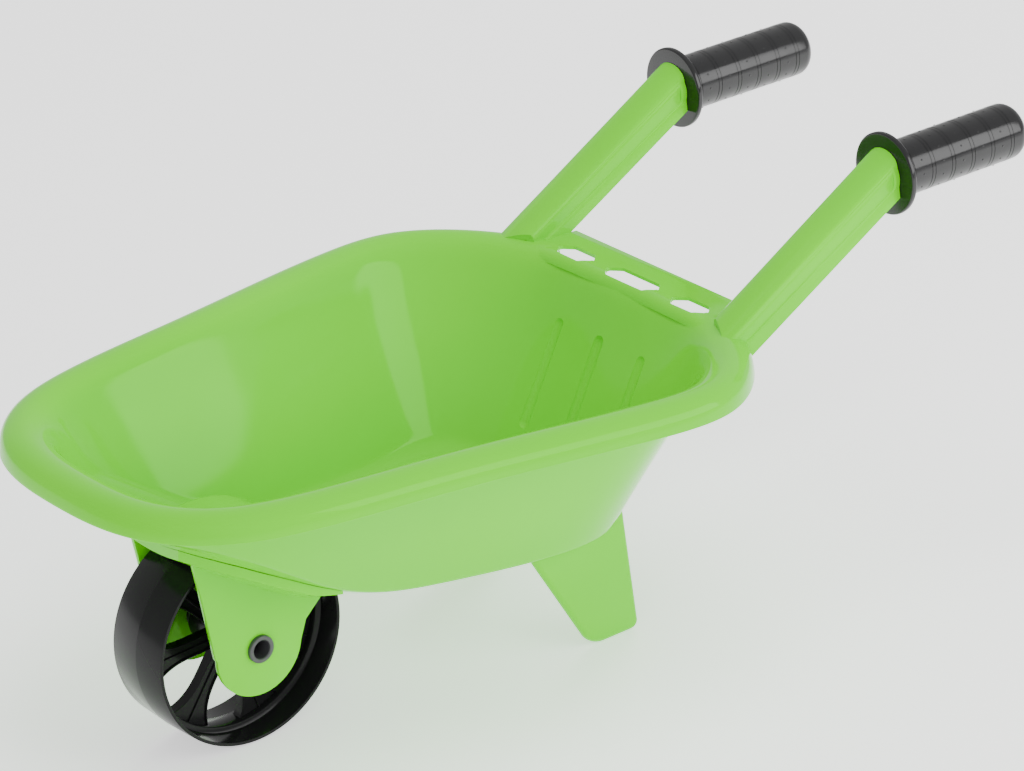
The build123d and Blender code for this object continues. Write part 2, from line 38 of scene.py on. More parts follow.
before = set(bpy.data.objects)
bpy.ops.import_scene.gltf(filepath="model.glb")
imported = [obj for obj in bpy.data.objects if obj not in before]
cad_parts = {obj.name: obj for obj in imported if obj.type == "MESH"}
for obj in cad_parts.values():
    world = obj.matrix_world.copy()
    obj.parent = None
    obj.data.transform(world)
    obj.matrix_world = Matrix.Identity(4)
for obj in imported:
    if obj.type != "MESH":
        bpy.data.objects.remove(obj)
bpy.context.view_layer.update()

MM = 0.001
wheel_low, wheel_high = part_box("wheel")
AXLE = (wheel_low + wheel_high) / 2
GROUND = np.array([AXLE.x, AXLE.y, 0.0])
WHEEL_RADIUS = (wheel_high.z - wheel_low.z) / 2 / MM
WHEEL_HALF = (wheel_high.x - wheel_low.x) / 2 / MM
BODY_PITCH = math.radians(3.0)

# ---- rim and basin ----
SKIN = 2.5
WALL_SKIN = 2.8         # wall thickness measured level with the ground
RIM_OUTLINE = [
    (0, -106.5), (40, -104), (74, -92.5), (104, -63.5), (120.5, -18), (133, 57), (146.5, 129),
    (154.5, 176), (154, 226), (137.5, 255), (107.5, 281), (72, 297), (0, 299),
]
WALL_FOOT = [
    (0, -20), (22, -14), (36, 6), (45, 50), (54, 100), (62, 145), (66, 173), (61.5, 199),
    (42, 211.5), (0, 214),
]
WALL_DEPTH = 115.0      # the wall's foot outline lies this far below the rim
LIP_CREASE = (26.0, 10.5)
LIP_OVER = [            # inset from the rim's outer edge, height above its lower edge
    (1.0, 0.0), (0.3, 0.15), (0.0, 1.0), (0.45, 4.0), (1.1, 7.0), (2.0, 9.0), (3.5, 11.0),
    (6.5, 13.0), (11.0, 14.4), (16.0, 14.4), (20.5, 12.8), (24.0, 11.2),
]
LIP_UNDER = [            # the same for its underside
    (1.6, 0.0), (2.3, 0.15), (2.55, 1.0), (2.95, 4.0), (3.6, 6.2), (5.4, 8.9), (8.0, 10.7),
    (11.5, 11.9), (15.5, 11.9), (19.5, 10.4), (22.0, 9.0),
]
BELLY = [               # underside of the basin: y, height on the centre line, crown per square of x
    (-110, 173.0, 0.00375), (-75, 147.0, 0.00375), (-51, 130.6, 0.00375), (-26, 114.6, 0.00375),
    (0, 99.0, 0.00375), (22, 87.0, 0.00375), (42, 79.0, 0.0036), (65, 74.0, 0.0031),
    (100, 71.5, 0.0025), (150, 71.0, 0.0019), (200, 73.0, 0.0018), (260, 80.0, 0.0018),
]
CROWN_HALF = 90.0
AROUND = 144            # points round the basin
INSIDE_FILLET = (9.0, 3.5)      # the bend into the floor starts this far up the wall
OUTSIDE_FILLET = (4.0, 1.0)
WALL_TOP_PARTS = (0.035, 0.09)  # rings down the wall, as parts of its height
WALL_PARTS = (0.3, 0.55, 0.8)   # and of what is left down to the floor
FLOOR_PARTS = (0.72, 0.5, 0.3, 0.12, 0.0)
SPINE_IN = (38.0, 50.0)         # the floor's spine stops this far short of the two ends
TRIM_LIP = [(16.5, 60.0), (16.5, 13.3), (24.8, 10.0)]   # inset and height inside the lip

# wheel arch
ARCH_RADIUS = 65.0
ARCH_HALF = 27.2
ARCH_EDGE = [(3.0, 0.0), (1.5, 0.4), (0.4, 1.5), (0.0, 3.0)]    # rounding: in from its side and top

# bridge between the arms, slots and grooves; its heights are above the rim's lower edge at BRIDGE_AT
BRIDGE_AT = 290.0
BRIDGE_HALF = 78.5
BRIDGE_REAR = 308.0
BRIDGE_OPEN = 284.0     # behind this line the bridge has no skirt under it
BRIDGE_TOP = 14.5
BROW_FRONT = [(0.0, 272.8), (40.0, 272.2), (62.0, 271.4), (BRIDGE_HALF, 269.6)]
BROW_RADIUS = 8.0       # the bridge rolls over into the rear wall
BROW_CENTRE = 8.5       # the roll's axis lies this far behind the front
BROW_FADE = (60.0, 1.5) # from here outwards the brow sinks into the lip, by this much
BROW_UNDER = [(278.5, 11.2), (275.0, 9.6)]
SLOTS = [(-50.0, 14.5), (0.0, 21.5), (50.0, 14.5)]      # centre, half-length
SLOT_Y = (278.0, 291.5)
SLOT_CORNER = 5.5
SLOT_ROUND = 2.0
SLOT_CUT = (150.0, 215.0)
BEHIND = 330.0          # well behind everything
ABOVE = 40.0            # well above the lip
BELOW = -6.0            # well below the rim's skirt
STEP_Y = 284.5          # behind this line the bridge is a little lower
STEP_DEPTH = 0.6
GROOVE_X = [-36.0, 0.0, 36.0]
GROOVE_RADIUS = 4.5
GROOVE_DEPTH = 2.2
GROOVE_HEIGHTS = (104.0, 158.0)

# arms and grips
ARM_X = 91.3
ARM_SLOPE = math.radians(30.3)
ARM_TOP = (271.4, 191.0)
ARM_BEGIN = 266.0
ARM_DEPTHS = (17.6, 15.1)       # at the basin, at the grip
ARM_CROWNS = (0.2, 7.6)
CROWN_HALF_WIDTH = 12.6
FLANGE_AT = (390.9, 253.7)
GRIP_PITCH = math.radians(2.2)
GRIP_RADIUS = 16.3
GRIP_LENGTH = 98.0
GRIP_ROUND = 8.0
GRIP_BORE = 12.0
GRIP_BORE_DEPTH = 84.0
FLANGE_RADIUS = 24.0
FLANGE_THICK = 3.6
BOSS_RADIUS = 13.6
BOSS_LENGTH = 4.0
FACE_GAP = 0.3          # between the arm's end and the flange
GROOVE_PAIRS = 6        # pairs of ring grooves on a grip, and rows of studs between them
PAIR_STEP = 15.0
PAIR = (7.0, 9.4)       # the first pair, from the flange's front face
RING_DEPTH = 0.2
STUD_ROW = 15.7
STUDS_AROUND = 12
STUD_DOME = [(0.0, 0.6), (0.42, 0.55), (0.55, 0.35), (0.6, 0.15)]

# fork
EAR_OUTER = 30.0
EAR_THICK = 2.7
EAR_TOE = 27.6          # radius of its lower end
EAR_FRONT = [(-43, 130), (-37, 103)]
EAR_SHOULDER = (1.2, 2.0)       # where the front edge meets the toe: outside its radius, above the axle
EAR_REAR = [(27.5, 57), (31, 68), (47, 84), (47, 130)]
SADDLE = (-50.0, 32.0)
SADDLE_DEPTHS = (6.0, 1.5)
SADDLE_TAPER = (14.0, 34.0)
SADDLE_WIDTHS = [(-50, 30), (-38, 44), (-26, 52), (0, 60), (22, 62.5), (66, 66)]        # y, half-width
BORE_CLEARANCE = 0.06

# legs
LEG_X = 65.5
LEG_PROFILE = [(151.3, 82), (198.0, 0), (233.0, 0), (225.0, 82)]
LEG_ROUNDS = [0, 17, 5, 0]
LEG_SOLE = 207.0        # the turned-in sole starts here
LEG_DEPTH = 12.0
LEG_SKIN = 3.0
LEG_EDGE = 3.0          # rounding of its outside edges
LEG_SINK = 0.15         # how far its top reaches into the basin's skin
LEG_OUTSIDE = 120.0     # in front of the leg, where its hollow is open
LEG_CLEAR = 5.0         # how far the hollow's tool passes the leg's top and sole

# wheel
SPOKES = 7
FIRST_SPOKE = math.radians(-20.0)
SPOKE_REACH = (11.3, 55.4)
SPOKE_STEPS = 22
SPOKE_HALF = 5.0
SPOKE_FLARE = (24.0, 32.3, 12.5)        # starts at this radius, over this length, by this much
SPOKE_RIDGE = 1.1
SPOKE_FACE, SPOKE_HIGH = 2.3, 3.4       # half-thickness of its face and of its ridges
HUB_RADIUS = 12.0
HUB_HALF = 20.0
AXLE_RADIUS = 6.6
AXLE_BORE = 5.3
AXLE_HEAD = 8.0
AXLE_HEAD_THICK = 2.4
HEAD_ROUND = 0.8
PLUG_END = 4.0
PLUG_BORE = 2.8
SPACER_WALL = 1.6

ALONG_X, ALONG_Y, ALONG_Z = (1, 0, 0), (0, 1, 0), (0, 0, 1)
AXLE_CENTRE = (0, 0, WHEEL_RADIUS)


# ---- drawing tools ----
def turn_back(vectors):
    """From the drawing's directions to the standing wheelbarrow's."""
    c, s = math.cos(BODY_PITCH), math.sin(BODY_PITCH)
    return np.asarray(vectors, float) @ np.array([[1, 0, 0], [0, c, -s], [0, s, c]])


def row(points):
    """From the drawing, in millimetres, to the row frame, in metres."""
    centre = np.array([0.0, 0.0, WHEEL_RADIUS])
    return (turn_back(np.asarray(points, float) - centre) + centre) * MM + GROUND


def new_piece(name, points, faces):
    """A mesh object from points in millimetres, with its normals facing out."""
    mesh = bpy.data.meshes.new(name)
    mesh.from_pydata([tuple(p) for p in row(points)], [], faces)
    piece = bpy.data.objects.new(name, mesh)
    bpy.context.scene.collection.objects.link(piece)
    work = bmesh.new()
    work.from_mesh(mesh)
    bmesh.ops.remove_doubles(work, verts=work.verts, dist=0.01 * MM)
    bmesh.ops.recalc_face_normals(work, faces=work.faces)
    work.to_mesh(mesh)
    work.free()
    return piece


def settle(piece):
    """Turns a piece's modifiers into mesh."""
    graph = bpy.context.evaluated_depsgraph_get()
    mesh = bpy.data.meshes.new_from_object(piece.evaluated_get(graph))
    piece.modifiers.clear()
    piece.data = mesh
    return piece


def subdivide(piece, levels):
    modifier = piece.modifiers.new("smooth", "SUBSURF")
    modifier.levels = levels
    modifier.render_levels = levels
    return settle(piece)


def bevel(piece, width, segments=3, angle=30):
    modifier = piece.modifiers.new("bevel", "BEVEL")
    modifier.width = width * MM
    modifier.segments = segments
    modifier.limit_method = "ANGLE"
    modifier.angle_limit = math.radians(angle)
    return settle(piece)


def combine(piece, tool, operation):
    """Adds, cuts or intersects a tool, which is then deleted."""
    modifier = piece.modifiers.new("combine", "BOOLEAN")
    modifier.operation = operation
    modifier.solver = "EXACT"
    modifier.object = tool
    settle(piece)
    bpy.data.objects.remove(tool)
    return piece


def join(pieces):
    """One mesh object out of several that don't touch."""
    work = bmesh.new()
    for piece in pieces:
        work.from_mesh(piece.data)
    first = pieces[0]
    work.to_mesh(first.data)
    work.free()
    for piece in pieces[1:]:
        bpy.data.objects.remove(piece)
    return first


def shade(piece, angle=32):
    """Smooth shading that stays crisp at edges sharper than angle."""
    piece.data.shade_smooth()
    piece.data.set_sharp_from_angle(angle=math.radians(angle))
    return piece


def spline(knots, values, closed=False):
    """Cubic spline through values at knots; returns a function of the knot variable."""
    knots = np.asarray(knots, float)
    values = np.asarray(values, float).reshape(len(knots), -1)
    step = np.diff(knots)
    count = len(knots)
    matrix = np.zeros((count, count))
    right = np.zeros_like(values)
    slope = np.diff(values, axis=0) / step[:, None]
    for i in range(1, count - 1):
        matrix[i, i - 1:i + 2] = step[i - 1], 2 * (step[i - 1] + step[i]), step[i]
        right[i] = 6 * (slope[i] - slope[i - 1])
    if closed:
        matrix[0, 0], matrix[0, -1] = 1, -1
        matrix[-1, 0], matrix[-1, 1] = 2 * step[0], step[0]
        matrix[-1, -2], matrix[-1, -1] = step[-1], 2 * step[-1]
        right[-1] = 6 * (slope[0] - slope[-1])
    else:
        matrix[0, 0] = matrix[-1, -1] = 1
    bend = np.linalg.solve(matrix, right)

    def at(t):
        t = np.asarray(t, float)
        i = np.clip(np.searchsorted(knots, t, side="right") - 1, 0, count - 2)
        h = step[i][..., None]
        a = (knots[i + 1] - t)[..., None] / h
        b = 1 - a
        curve = a * values[i] + b * values[i + 1]
        return curve + ((a ** 3 - a) * bend[i] + (b ** 3 - b) * bend[i + 1]) * h ** 2 / 6

    return at


def even_outline(half, count):
    """Evenly spaced points round a closed outline, and the inward normal at each."""
    corners = np.array(list(half) + [(-x, y) for x, y in half[-2:0:-1]] + [half[0]], float)
    knots = np.concatenate([[0], np.cumsum(np.linalg.norm(np.diff(corners, axis=0), axis=1))])
    curve = spline(knots, corners, closed=True)
    fine = np.linspace(0, knots[-1], 6001)
    track = curve(fine)
    length = np.concatenate([[0], np.cumsum(np.linalg.norm(np.diff(track, axis=0), axis=1))])
    at = np.interp(np.arange(count) / count * length[-1], length, fine)
    points = curve(at)
    ahead = curve(np.mod(at + 0.5, knots[-1])) - curve(np.mod(at - 0.5, knots[-1]))
    ahead /= np.linalg.norm(ahead, axis=1)[:, None]
    inward = np.stack([-ahead[:, 1], ahead[:, 0]], axis=1)
    return points, inward


def ring_faces(rows, count, closed_rows=False):
    """Quads between rings that each hold count points."""
    faces = []
    last = rows if closed_rows else rows - 1
    for r in range(last):
        a, b = r * count, (r + 1) % rows * count
        for i in range(count):
            j = (i + 1) % count
            faces.append((a + i, a + j, b + j, b + i))
    return faces


def loft(name, rings):
    """Solid through rings of equally many points, with a flat face at each end."""
    count = len(rings[0])
    faces = ring_faces(len(rings), count)
    faces.append(tuple(range(count)))
    faces.append(tuple(range(len(rings) * count - 1, (len(rings) - 1) * count - 1, -1)))
    return new_piece(name, [point for ring in rings for point in ring], faces)


def prism(name, outline, start, end, along, across, up, origin=(0, 0, 0)):
    """Straight bar: outline points (u, v) laid on across and up, from start to end along."""
    along, across, up, origin = (np.array(v, float) for v in (along, across, up, origin))
    rings = []
    for distance in (start, end):
        rings.append([origin + along * distance + across * u + up * v for u, v in outline])
    return loft(name, rings)


def revolve(name, profile, origin, axis, around, closed):
    """Profile points (distance along the axis, radius) turned round the axis."""
    axis = np.array(axis, float)
    side = np.cross(axis, ALONG_Z)
    side /= np.linalg.norm(side)
    up = np.cross(side, axis)
    points = []
    for along, radius in profile:
        for i in range(around):
            turn = 2 * math.pi * i / around
            out = side * math.cos(turn) + up * math.sin(turn)
            points.append(np.array(origin) + axis * along + out * radius)
    return new_piece(name, points, ring_faces(len(profile), around, closed))


def lathe(name, profile, origin, axis, around=96):
    """Ring-shaped solid: the profile is a closed loop."""
    return revolve(name, profile, origin, axis, around, True)


def solid_of_revolution(name, profile, origin, axis, around=96):
    """Closed at both ends on the axis: the profile runs from one end to the other."""
    profile = [(profile[0][0], 0.0)] + list(profile) + [(profile[-1][0], 0.0)]
    return revolve(name, profile, origin, axis, around, False)


def arc(centre, radius, start, end, steps):
    """Points on an arc, angles in degrees."""
    turns = [math.radians(start + (end - start) * i / steps) for i in range(steps + 1)]
    return [(centre[0] + radius * math.cos(t), centre[1] + radius * math.sin(t)) for t in turns]


def round_corners(outline, radii, steps=5):
    """A polygon with rounded corners; a radius of 0 keeps the corner."""
    rounded = []
    count = len(outline)
    for i, radius in enumerate(radii):
        corner = Vector(outline[i])
        if radius == 0:
            rounded.append(tuple(corner))
            continue
        back = (Vector(outline[i - 1]) - corner).normalized()
        ahead = (Vector(outline[(i + 1) % count]) - corner).normalized()
        half = back.angle(ahead) / 2
        centre = corner + (back + ahead).normalized() * (radius / math.sin(half))
        first = corner + back * (radius / math.tan(half)) - centre
        last = corner + ahead * (radius / math.tan(half)) - centre
        swing = first.angle_signed(last)
        for step in range(steps + 1):
            turn = -swing * step / steps
            c, s = math.cos(turn), math.sin(turn)
            x = centre.x + first.x * c - first.y * s
            y = centre.y + first.x * s + first.y * c
            rounded.append((x, y))
    return rounded


# ---- surfaces of the basin ----
def rim_height(y):
    """Lower edge of the rim: it climbs to the rear and bows down a little at both ends."""
    return 170.6 + 0.0272 * y - 2.9 * ((y - 100) / 200) ** 2


belly_spline = spline([b[0] for b in BELLY], [(b[1], b[2]) for b in BELLY])


def belly(x, y):
    """Underside of the basin: a circular arc across at every station."""
    low, crown = np.moveaxis(belly_spline(y), -1, 0)
    sag = crown * CROWN_HALF ** 2
    radius = (CROWN_HALF ** 2 + sag ** 2) / (2 * sag)
    return low + radius - np.sqrt(np.maximum(radius ** 2 - np.asarray(x, float) ** 2, 0))


rim_points, rim_inward = even_outline(RIM_OUTLINE, AROUND)
foot_points, foot_inward = even_outline(WALL_FOOT, AROUND)


def lip_ring(inset, level):
    flat = rim_points + rim_inward * inset
    return np.column_stack([flat, rim_height(rim_points[:, 1]) + level])


def wall_rings(outset, lift, fillet):
    """Rings down the basin wall, round the bend into the floor, and in to the spine."""
    top = lip_ring(*LIP_CREASE)
    top[:, :2] -= rim_inward * outset
    top[:, 2] -= outset * 0.9
    flat = foot_points - foot_inward * outset
    foot = np.column_stack([flat, rim_height(foot_points[:, 1]) - WALL_DEPTH])
    fall = np.linalg.norm(foot - top, axis=1)

    def wall(t):
        return top + (foot - top) * np.asarray(t)[:, None]

    low, high = np.zeros(AROUND), np.ones(AROUND)
    for _ in range(40):
        t = (low + high) / 2
        p = wall(t)
        above = p[:, 2] > belly(p[:, 0], p[:, 1]) + lift
        low, high = np.where(above, t, low), np.where(above, high, t)
    bend = wall(low)
    rings = []
    for part in WALL_TOP_PARTS:
        rings.append(wall(np.full(AROUND, part)))
    top_part = WALL_TOP_PARTS[-1]
    for part in WALL_PARTS:
        rings.append(wall(top_part + (low - top_part) * part))
    for back in fillet:
        rings.append(wall(low - back / fall))
    first, last = bend[:, 1].min(), bend[:, 1].max()
    spine_first, spine_last = first + SPINE_IN[0], last - SPINE_IN[1]
    spine_y = spine_first + (spine_last - spine_first) * (bend[:, 1] - first) / (last - first)
    reach = np.hypot(bend[:, 0], bend[:, 1] - spine_y)
    shares = [1 - inward / reach for inward in reversed(fillet)]
    shares += [np.full(AROUND, share) for share in FLOOR_PARTS]
    for share in shares:
        x = bend[:, 0] * share
        y = spine_y + (bend[:, 1] - spine_y) * share
        rings.append(np.column_stack([x, y, belly(x, y) + lift]))
    return rings


def make_shell():
    """The basin as one closed sheet: under the lip, over it, down inside and out again."""
    over = [lip_ring(*p) for p in LIP_OVER] + wall_rings(0.0, SKIN, INSIDE_FILLET)
    under = [lip_ring(*p) for p in LIP_UNDER] + wall_rings(WALL_SKIN, 0.0, OUTSIDE_FILLET)
    rings = list(reversed(under)) + over
    points = np.concatenate(rings)
    shell = new_piece("basin_shell", points, ring_faces(len(rings), AROUND))
    return subdivide(shell, 2)


def capped(name, rings):
    """Solid between rings that end on the spine and a flat cap on the first ring."""
    faces = ring_faces(len(rings), AROUND)
    faces.append(tuple(range(AROUND)))
    return new_piece(name, np.concatenate(rings), faces)


def make_interior():
    """Everything inside the middle of the basin's wall, to trim the arms with."""
    rings = [lip_ring(*place) for place in TRIM_LIP]
    return capped("interior", rings + wall_rings(WALL_SKIN / 2, SKIN / 2, INSIDE_FILLET))


def make_basin_body():
    """Everything inside the basin's outside surface, to trim the legs with."""
    return capped("basin_body", wall_rings(WALL_SKIN - LEG_SINK, LEG_SINK, OUTSIDE_FILLET))


def make_hump():
    """Drum over the wheel, cut off inside the thickness of the floor."""
    radius, half = ARCH_RADIUS + SKIN, ARCH_HALF + SKIN
    edge = [(half - side, radius - down) for side, down in ARCH_EDGE]
    profile = [(-x, r) for x, r in reversed(edge)] + edge
    drum = solid_of_revolution("hump", profile, AXLE_CENTRE, ALONG_X, 160)
    return combine(drum, above_belly(SKIN / 2), "INTERSECT")


def make_well():
    """The wheel's space, cut out of the basin and the fork."""
    profile = [(-ARCH_HALF, ARCH_RADIUS), (ARCH_HALF, ARCH_RADIUS)]
    return solid_of_revolution("well", profile, AXLE_CENTRE, ALONG_X, 128)


def slot_outline(centre, half):
    """A long octagon with soft corners."""
    front, rear = SLOT_Y
    left, right = centre - half, centre + half
    cut = SLOT_CORNER
    corners = [
        (left, front + cut), (left + cut, front), (right - cut, front), (right, front + cut),
        (right, rear - cut), (right - cut, rear), (left + cut, rear), (left, rear - cut),
    ]
    return round_corners(corners, [SLOT_ROUND] * len(corners), 3)


def make_slot_tool():
    """Tool for the bridge's slots."""
    tools = []
    for number, (centre, half) in enumerate(SLOTS):
        outline = slot_outline(centre, half)
        tools.append(prism(f"slot_{number}", outline, *SLOT_CUT, ALONG_Z, ALONG_X, ALONG_Y))
    return join(tools)


def slab(name, half, front, rear, low, high):
    """Block between two heights above the rim's lower edge at the bridge."""
    base = rim_height(BRIDGE_AT)
    outline = [(-half, front), (half, front), (half, rear), (-half, rear)]
    return prism(name, outline, base + low, base + high, ALONG_Z, ALONG_X, ALONG_Y)


def make_bridge():
    """Flat plate between the arms, a shade lower than the brow in front of it."""
    top = BRIDGE_TOP - STEP_DEPTH
    bridge = slab("bridge", BRIDGE_HALF, STEP_Y - 1.0, BRIDGE_REAR, BRIDGE_TOP - SKIN, top)
    return bevel(bridge, 0.5)


def make_brow():
    """The bridge's front part, rolling over into the rear wall."""
    base = rim_height(BRIDGE_AT)
    fade_from, fade = BROW_FADE
    rings = []
    for x in np.linspace(-BRIDGE_HALF, BRIDGE_HALF, 31):
        front = float(np.interp(abs(x), *zip(*BROW_FRONT)))
        top = BRIDGE_TOP - float(np.interp(abs(x), [fade_from, BRIDGE_HALF], [0.0, fade]))
        roll = arc((front + BROW_CENTRE, top - BROW_RADIUS), BROW_RADIUS, 165, 90, 12)
        section = roll + [(STEP_Y, top), (STEP_Y, BRIDGE_TOP - 2.0)] + BROW_UNDER
        rings.append([(x, y, base + level) for y, level in section])
    return loft("brow", rings)


def rear_skirt():
    """The part of the rim's skirt that the bridge leaves out."""
    top = BRIDGE_TOP - SKIN + 0.3
    return slab("rear_skirt", BRIDGE_HALF - 1.0, BRIDGE_OPEN, BEHIND, BELOW, top)


def above_bridge():
    """What's left of the rolled lip above the bridge."""
    low = BRIDGE_TOP - STEP_DEPTH - 0.1
    return slab("above_bridge", BRIDGE_HALF - 1.0, STEP_Y + 0.05, BEHIND, low, ABOVE)


def rear_wall_y(z):
    """Inside face of the rear wall on the centre line."""
    top_y = RIM_OUTLINE[-1][1] - LIP_CREASE[0]
    top_z = rim_height(RIM_OUTLINE[-1][1]) + LIP_CREASE[1]
    foot_y = WALL_FOOT[-1][1]
    foot_z = rim_height(foot_y) - WALL_DEPTH
    return foot_y + (z - foot_z) * (top_y - foot_y) / (top_z - foot_z)


def make_grooves():
    """Tools for the three round-ended grooves down the rear wall."""
    low = Vector((0, rear_wall_y(GROOVE_HEIGHTS[0]), GROOVE_HEIGHTS[0]))
    high = Vector((0, rear_wall_y(GROOVE_HEIGHTS[1]), GROOVE_HEIGHTS[1]))
    along = (high - low).normalized()
    out = Vector((0, -along.z, along.y)) * (GROOVE_RADIUS - GROOVE_DEPTH)
    length = (high - low).length
    cap = arc((0, 0), GROOVE_RADIUS, 179, 90, 8)
    profile = cap + [(length - x, r) for x, r in reversed(cap)]
    tools = []
    for x in GROOVE_X:
        origin = low + out + Vector((x, 0, 0))
        tools.append(lathe(f"groove_{x:.0f}", profile, origin, along, 40))
    return join(tools)


# ---- arms ----
def arm_section(crown, depth):
    """Outline of an arm across its length: (across, down), an upside-down channel."""
    outer = [(-13.7, depth), (-13.0, 9.6), (-12.7, 8.7), (-12.1, 8.1), (-12.0, 7.4)]
    top = arc((-8.6, 3.6), 3.4, 180, 250, 6) + [(-6.4, 0.1), (-3.2, 0.0), (0.0, 0.0)]
    outer += [(u, d - crown * math.sqrt(1 - (u / CROWN_HALF_WIDTH) ** 2)) for u, d in top]
    outer += [(-u, d) for u, d in reversed(outer[:-1])]
    inner = [(-11.2, depth), (-10.0, 8.0), (-9.4, 4.4), (-7.6, 2.6), (0.0, 1.4)]
    inner += [(-u, d) for u, d in reversed(inner[:-1])]
    return outer + list(reversed(inner))


def grip_axis():
    return np.array([0.0, math.cos(GRIP_PITCH), math.sin(GRIP_PITCH)])


def make_arm(x):
    """One handle arm, cut off by the grip's front face."""
    along = np.array([0.0, math.cos(ARM_SLOPE), math.sin(ARM_SLOPE)])
    down = np.array([0.0, math.sin(ARM_SLOPE), -math.cos(ARM_SLOPE)])
    start = np.array([x, ARM_BEGIN, ARM_TOP[1] + math.tan(ARM_SLOPE) * (ARM_BEGIN - ARM_TOP[0])])
    axis = grip_axis()
    face = np.array([x, *FLANGE_AT]) - axis * FACE_GAP
    begin, end = [], []
    sections = [arm_section(*form) for form in zip(ARM_CROWNS, ARM_DEPTHS)]
    for (u, d), (_, crowned) in zip(*sections):
        base = start + np.array([u, 0, 0]) + down * d
        begin.append(base)
        base = start + np.array([u, 0, 0]) + down * crowned
        end.append(base + along * ((face - base) @ axis) / (along @ axis))
    arm = loft(f"arm_{x:.0f}", [begin, end])
    profile = [(-BOSS_LENGTH, BOSS_RADIUS - 0.8), (-BOSS_LENGTH + 0.8, BOSS_RADIUS)]
    profile += [(-FACE_GAP, BOSS_RADIUS)]
    boss = solid_of_revolution(f"boss_{x:.0f}", profile, np.array([x, *FLANGE_AT]), axis, 64)
    combine(arm, boss, "UNION")
    return combine(arm, make_interior(), "DIFFERENCE")


def make_basin():
    """Shell, wheel arch, bridge, slots and arms as one moulding."""
    basin = make_shell()
    combine(basin, make_hump(), "UNION")
    combine(basin, make_well(), "DIFFERENCE")
    combine(basin, rear_skirt(), "DIFFERENCE")
    combine(basin, above_bridge(), "DIFFERENCE")
    combine(basin, make_bridge(), "UNION")
    combine(basin, make_brow(), "UNION")
    combine(basin, make_slot_tool(), "DIFFERENCE")
    for side in (1, -1):
        combine(basin, make_arm(side * ARM_X), "UNION")
    combine(basin, make_grooves(), "DIFFERENCE")
    basin.name = "basin_moulding"
    return shade(basin)


# ---- fork ----
def make_ear(side):
    toe = arc((0, WHEEL_RADIUS), EAR_TOE, 180, 354, 30)
    shoulder = (-EAR_TOE - EAR_SHOULDER[0], WHEEL_RADIUS + EAR_SHOULDER[1])
    outline = EAR_FRONT + [shoulder] + toe + EAR_REAR
    inner, outer = sorted((side * (EAR_OUTER - EAR_THICK), side * EAR_OUTER))
    ear = prism(f"ear_{side}", outline, inner, outer, ALONG_X, ALONG_Y, ALONG_Z)
    return bevel(ear, 0.5, 2, 50)


def above_belly(lift):
    """Everything above the belly, to cut the fork's top and trim the hump over the wheel."""
    xs = np.linspace(-89, 89, 60)
    ys = np.linspace(-105, 255, 90)
    points = []
    for y in ys:
        for x in xs:
            points.append((x, y, float(belly(x, y)) + lift))
    for y in ys:
        for x in xs:
            points.append((x, y, 300.0))
    count = len(xs)
    size = count * len(ys)
    faces = []
    for r in range(len(ys) - 1):
        for i in range(count - 1):
            a = r * count + i
            faces.append((a, a + 1, a + count + 1, a + count))
            faces.append((size + a, size + a + count, size + a + count + 1, size + a + 1))
    edge = list(range(count))
    edge += [r * count + count - 1 for r in range(1, len(ys))]
    edge += [(len(ys) - 1) * count + i for i in range(count - 2, -1, -1)]
    edge += [r * count for r in range(len(ys) - 2, 0, -1)]
    for a, b in zip(edge, edge[1:] + edge[:1]):
        faces.append((a, size + a, size + b, b))
    return new_piece("above_belly", points, faces)


def make_saddle():
    """Slab that follows the basin's underside and thins towards its rear end."""
    rings = []
    for y in np.linspace(SADDLE[0], SADDLE[1], 40):
        half = float(np.interp(y, *zip(*SADDLE_WIDTHS)))
        depth = float(np.interp(y, SADDLE_TAPER, SADDLE_DEPTHS))
        xs = np.linspace(-half, half, 41)
        under = [(x, y, float(belly(x, y)) - depth) for x in xs]
        over = [(x, y, float(belly(x, y)) + 0.4) for x in reversed(xs)]
        rings.append(under + over)
    return loft("saddle", rings)


def make_fork():
    """Saddle and both ears, trimmed by the basin's underside and the wheel's space."""
    fork = make_saddle()
    for side in (1, -1):
        combine(fork, make_ear(side), "UNION")
    combine(fork, above_belly(-0.05), "DIFFERENCE")
    combine(fork, make_well(), "DIFFERENCE")
    radius, reach = AXLE_RADIUS + BORE_CLEARANCE, 2 * EAR_OUTER
    bore = [(-reach, radius), (reach, radius)]
    combine(fork, solid_of_revolution("bore", bore, AXLE_CENTRE, ALONG_X, 64), "DIFFERENCE")
    fork.name = "fork_moulding"
    return shade(fork)


# ---- legs ----
def make_leg(side, name):
    """Upright plate with its rear edge and sole turned in, trimmed by the basin."""
    c, s = math.cos(BODY_PITCH), math.sin(BODY_PITCH)
    across, up = (0, c, s), (0, -s, c)
    origin = (0, WHEEL_RADIUS * s, WHEEL_RADIUS * (1 - c))
    outline = round_corners(LEG_PROFILE, LEG_ROUNDS, 10)
    inner_face = side * (LEG_X - LEG_DEPTH)
    leg = prism(name, outline, inner_face, side * LEG_X, ALONG_X, across, up, origin)
    leg = bevel(leg, LEG_EDGE, 5, 50)
    (heel, _), (top_rear, top) = LEG_PROFILE[2:]
    inner = [
        (LEG_OUTSIDE, -LEG_CLEAR), (LEG_SOLE, -LEG_CLEAR), (LEG_SOLE, LEG_SKIN),
        (heel - LEG_SKIN, LEG_SKIN), (top_rear - LEG_SKIN, top + LEG_CLEAR),
        (LEG_OUTSIDE, top + LEG_CLEAR),
    ]
    hollow_end = side * (LEG_X - 3 * LEG_DEPTH)
    skin_face = side * (LEG_X - LEG_SKIN)
    hollow = prism("hollow", inner, hollow_end, skin_face, ALONG_X, across, up, origin)
    combine(leg, hollow, "DIFFERENCE")
    combine(leg, make_basin_body(), "DIFFERENCE")
    return shade(leg, 40)


